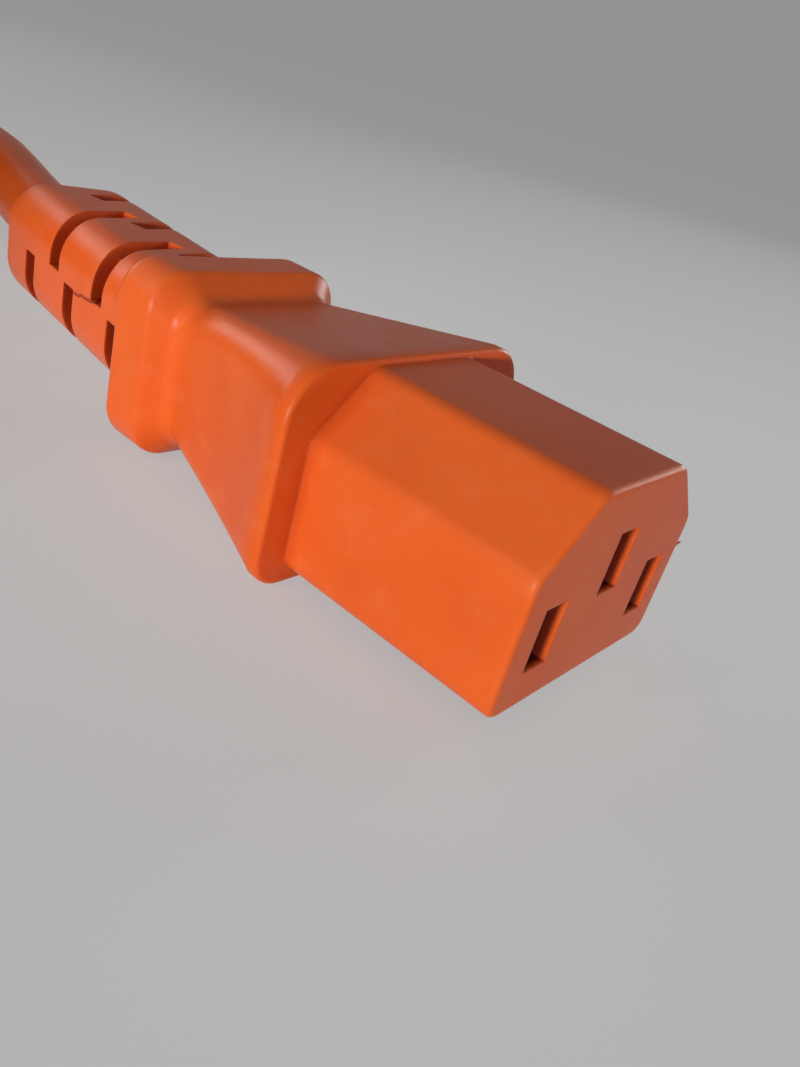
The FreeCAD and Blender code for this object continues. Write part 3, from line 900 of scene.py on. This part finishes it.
@dataclass
class Cord:
    """The free cord: a lead out of the connector, the coil and a tail to the plug.

    Attributes:
        diameter: The sheath's diameter.
        length: Length between the two mouldings; not used.
        lead: Control points from the connector to the coil.
        tail: Control points from the coil to the plug.
        centre: X and Y of the coil's middle.
        radius: Radius of the circle between the coil's two columns.
        lift: Height of the coil's underside.
        first_angle: Where the cord joins the coil, in degrees.
        last_angle: Where it leaves, counted on through all turns.
        first_change: Where it first passes to another place in the stack.
        next_change: Where it does so again; the others follow a turn apart.
        change: Degrees that such a passage takes.
        step: Degrees between control points, about.
        stack: Column and layer of each turn in order.
        ring_steps: How finely the section is divided.
        curve_steps: How finely the length is divided between control points.
        order: Order of the curve; 3 makes it quadratic.
    """

    diameter: float = 0.0083
    length: float = 1.97
    lead: tuple[Point, ...] = (
        (-0.03891, 0.00489, 0.0087),
        (-0.04663, 0.00605, 0.0087),
        (-0.07000, 0.01040, 0.0118),
        (-0.09700, 0.01520, 0.0072),
    )
    tail: tuple[Point, ...] = (
        (-0.1115, -0.0686, 0.0062),
        (-0.0990, -0.0686, 0.0086),
        (-0.0865, -0.0686, 0.0104),
        (-0.0745, -0.0686, 0.0104),
    )
    centre: tuple[float, float] = (-0.1220, -0.0250)
    radius: float = 0.0395
    lift: float = 0.001
    first_angle: float = 80.0
    last_angle: float = 2790.0
    first_change: float = 90.0
    next_change: float = 510.0
    change: float = 120.0
    step: float = 15.0
    stack: tuple[tuple[int, int], ...] = (
        (1, 0), (0, 0), (0, 1), (0, 2), (0, 3), (1, 3), (1, 2), (1, 1), (1, 0),
    )
    ring_steps: int = 5
    curve_steps: int = 4
    order: int = 3

    def change_angles(self) -> list[float]:
        """List where the cord passes from one place in the stack to the next.

        Returns:
            Angles in degrees, one for each passage.
        """
        later = len(self.stack) - 2
        return [self.first_change] + [self.next_change + FULL_TURN * k for k in range(later)]

    def turn_point(self, angle: float) -> Vector:
        """Find a control point of the coil.

        Args:
            angle: Degrees from the X axis, counted on through all turns.

        Returns:
            The point, in metres.
        """
        column, layer = (float(number) for number in self.stack[0])
        for start, before, after in zip(self.change_angles(), self.stack, self.stack[1:]):
            share = min(max((angle - start) / self.change, 0.0), 1.0)
            share = share * share * (3.0 - 2.0 * share)
            column += share * (after[0] - before[0])
            layer += share * (after[1] - before[1])
        # A quadratic curve runs inside its control points, so they lie a little further out.
        swell = 2.0 / (1.0 + math.cos(math.radians(self.step / 2.0)))
        radius = (self.radius + (column - 0.5) * self.diameter) * swell
        around = math.radians(angle)
        return Vector((
            self.centre[0] + radius * math.cos(around),
            self.centre[1] + radius * math.sin(around),
            self.lift + (layer + 0.5) * self.diameter,
        ))

    def route(self) -> list[Vector]:
        """List the control points from the connector to the plug.

        Returns:
            The points, in metres.
        """
        around = self.last_angle - self.first_angle
        count = round(around / self.step)
        turns = [self.turn_point(self.first_angle + around * k / count) for k in range(count + 1)]
        return [Vector(point) for point in self.lead] + turns + [Vector(point) for point in self.tail]

    def build(self, finish: bpy.types.Material, riders: Iterable[bpy.types.Object]) -> bpy.types.Object:
        """Args:
            finish: The sheath's vinyl.
            riders: Pieces on the cord: the plug, what is in it, and the tie; not used.

        Returns:
            The cord.
        """
        curve = bpy.data.curves.new("cord", "CURVE")
        curve.dimensions = "3D"
        curve.bevel_depth = self.diameter / 2.0
        curve.bevel_resolution = self.ring_steps
        curve.resolution_u = self.curve_steps
        curve.use_fill_caps = True
        points = self.route()
        spline = curve.splines.new("NURBS")
        spline.points.add(len(points) - 1)
        for point, where in zip(spline.points, points):
            point.co = (*where, 1.0)
        spline.order_u = self.order
        spline.use_endpoint_u = True
        curve.materials.append(finish)
        piece = place("cord", curve)
        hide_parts("cord_lead", "cord_coil", "cord_tail")
        return piece


@dataclass(frozen=True)
class Lamp:
    """A soft box with a grid on it, which keeps its light off the floor close by.

    Attributes:
        name: The lamp's name.
        where: Its middle.
        target: The point it faces.
        size: Width and height.
        watts: Its power.
        spread: How wide the grid lets the light out, in degrees.
    """

    name: str
    where: Point
    target: Point
    size: tuple[float, float]
    watts: float
    spread: float = 50.0

    def hang(self) -> None:
        """Put the lamp in the scene."""
        light = bpy.data.lights.new(self.name, "AREA")
        light.shape = "RECTANGLE"
        light.size, light.size_y = self.size
        light.energy = self.watts
        light.spread = math.radians(self.spread)
        box = bpy.data.objects.new(self.name, light)
        box.location = self.where
        facing = Vector(self.target) - Vector(self.where)
        box.rotation_euler = facing.to_track_quat("-Z", "Y").to_euler()
        bpy.context.scene.collection.objects.link(box)


@dataclass
class Studio:
    """Floor, light and camera.

    Attributes:
        eye: The camera's place.
        right: Direction to the picture's right.
        up: Direction to the picture's top.
        lens: Focal length in millimetres.
        sensor: Width of the camera's sensor in millimetres.
        clip: Nearest and furthest distance that is drawn.
        floor_half: Half the floor's width.
        ambient: Light that comes from all round.
        distance_grey: What is seen past the floor's edge.
        lamps: Low key from the left, weaker lamps from the right and the rear, and one for the lead.
    """

    eye: Point = (0.05912, -0.05475, 0.03706)
    right: Point = (0.71948, 0.64791, 0.25012)
    up: Point = (-0.47906, 0.20223, 0.85417)
    lens: float = 40.537
    sensor: float = 36.0
    clip: tuple[float, float] = (0.002, 50.0)
    floor_half: float = 6.0
    ambient: Colour = (0.080, 0.083, 0.087, 1.0)
    distance_grey: Colour = (0.295, 0.295, 0.30, 1.0)
    lamps: tuple[Lamp, ...] = (
        Lamp("key", (0.36, -0.825, 0.080), (0.0, 0.0, 0.010), (0.50, 0.070), 0.69),
        Lamp("right", (0.08, 0.58, 0.13), (-0.02, 0.0, 0.010), (0.40, 0.12), 0.13),
        Lamp("rear", (-0.70, -0.08, 0.24), (-0.05, 0.0, 0.010), (0.50, 0.22), 0.11),
        Lamp("side", (-0.14, -0.45, 0.20), (-0.06, 0.0, 0.010), (0.12, 0.12), 0.016, 24.0),
    )

    def build(self) -> None:
        """Make the floor, lamps, world and camera."""
        self.make_floor()
        for lamp in self.lamps:
            lamp.hang()
        self.make_world()
        self.make_camera()
        bpy.context.scene.view_settings.view_transform = "Standard"

    def make_floor(self) -> None:
        """Lay a flat pale floor under the cord."""
        shape = bmesh.new()
        bmesh.ops.create_grid(shape, x_segments=1, y_segments=1, size=self.floor_half)
        mesh = bpy.data.meshes.new("floor")
        shape.to_mesh(mesh)
        shape.free()
        mesh.materials.append(FloorFinish().make())
        floor = bpy.data.objects.new("floor", mesh)
        bpy.context.scene.collection.objects.link(floor)

    def make_world(self) -> None:
        """Give light from all round, and a grey where the world itself is seen."""
        world = bpy.data.worlds.new("studio")
        world.use_nodes = True
        nodes = Nodes(world.node_tree)
        light = nodes.node("ShaderNodeBackground", {}, {"Color": self.ambient})
        seen = nodes.node("ShaderNodeBackground", {}, {"Color": self.distance_grey})
        nodes.show(nodes.seen_directly(), light, seen)
        bpy.context.scene.world = world

    def make_camera(self) -> None:
        """Set the camera at the photograph's place, turn and tilt."""
        right = Vector(self.right).normalized()
        up = Vector(self.up)
        up = (up - right * up.dot(right)).normalized()
        back = right.cross(up)
        data = bpy.data.cameras.new("camera")
        data.sensor_fit = "HORIZONTAL"
        data.sensor_width = self.sensor
        data.lens = self.lens
        data.clip_start, data.clip_end = self.clip
        camera = bpy.data.objects.new("camera", data)
        turn = Matrix((right, up, back)).transposed()
        camera.matrix_world = Matrix.Translation(self.eye) @ turn.to_4x4()
        bpy.context.scene.collection.objects.link(camera)
        bpy.context.scene.camera = camera


def place(name: str, data: bpy.types.ID) -> bpy.types.Object:
    """Put a new piece in the scene, riding on the part's one body.

    Args:
        name: The piece's name.
        data: Its mesh or curve.

    Returns:
        The piece.
    """
    piece = bpy.data.objects.new(name, data)
    bpy.context.scene.collection.objects.link(piece)
    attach(piece, BODY)
    return piece


def dress(node: str, finish: bpy.types.Material) -> bpy.types.Object:
    """Give a CAD node its finish.

    Args:
        node: The node's name.
        finish: The material.

    Returns:
        The node's object.
    """
    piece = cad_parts[node]
    piece.data.materials.clear()
    piece.data.materials.append(finish)
    return piece


def dress_inner_pieces() -> list[bpy.types.Object]:
    """Dress contacts, pins and cores.

    Returns:
        The pieces that belong to the plug.
    """
    strip = MetalFinish("contact_strip", BRASS, BRASS_TARNISH).make()
    plating = MetalFinish("pin_plating", NICKEL, NICKEL_TARNISH, roughness=0.22).make()
    insulation = {
        Core.LINE: InsulationFinish("line_insulation", BROWN).make(),
        Core.NEUTRAL: InsulationFinish("neutral_insulation", BLUE).make(),
        Core.EARTH: InsulationFinish("earth_insulation", GREEN, stripe=YELLOW).make(),
    }
    on_plug = []
    for core in Core:
        dress(f"contact_{core.value}", strip)
        dress(f"connector_core_{core.value}", insulation[core])
        on_plug.append(dress(f"pin_{core.value}", plating))
        on_plug.append(dress(f"plug_core_{core.value}", insulation[core]))
    return on_plug


def main() -> None:
    """Build the cord, its two ends and the studio."""
    logging.basicConfig(level=logging.INFO, format="%(name)s: %(message)s")
    housing = VinylFinish("housing_vinyl", tear=Tear(), slots=SlotShade()).make()
    plain_housing = VinylFinish("plug_vinyl").make()
    sheath = VinylFinish("sheath_vinyl", grain=0.000016, edge=0.0001).make()
    connector = Moulding("connector_body", "connector_moulding").build(housing)
    plug = Moulding("plug_body", "plug_moulding").build(plain_housing)
    burr = Burr().build(housing)
    riders = dress_inner_pieces()
    dress("connector_sheath", sheath)
    riders.append(dress("plug_sheath", sheath))
    riders.append(dress("coil_tie", StrapFinish().make()))
    cord = Cord().build(sheath, riders + [plug])
    for piece in (connector, burr, plug, cord):
        log.info("%s built", piece.name)
    Studio().build()


if __name__ == "__main__":
    main()
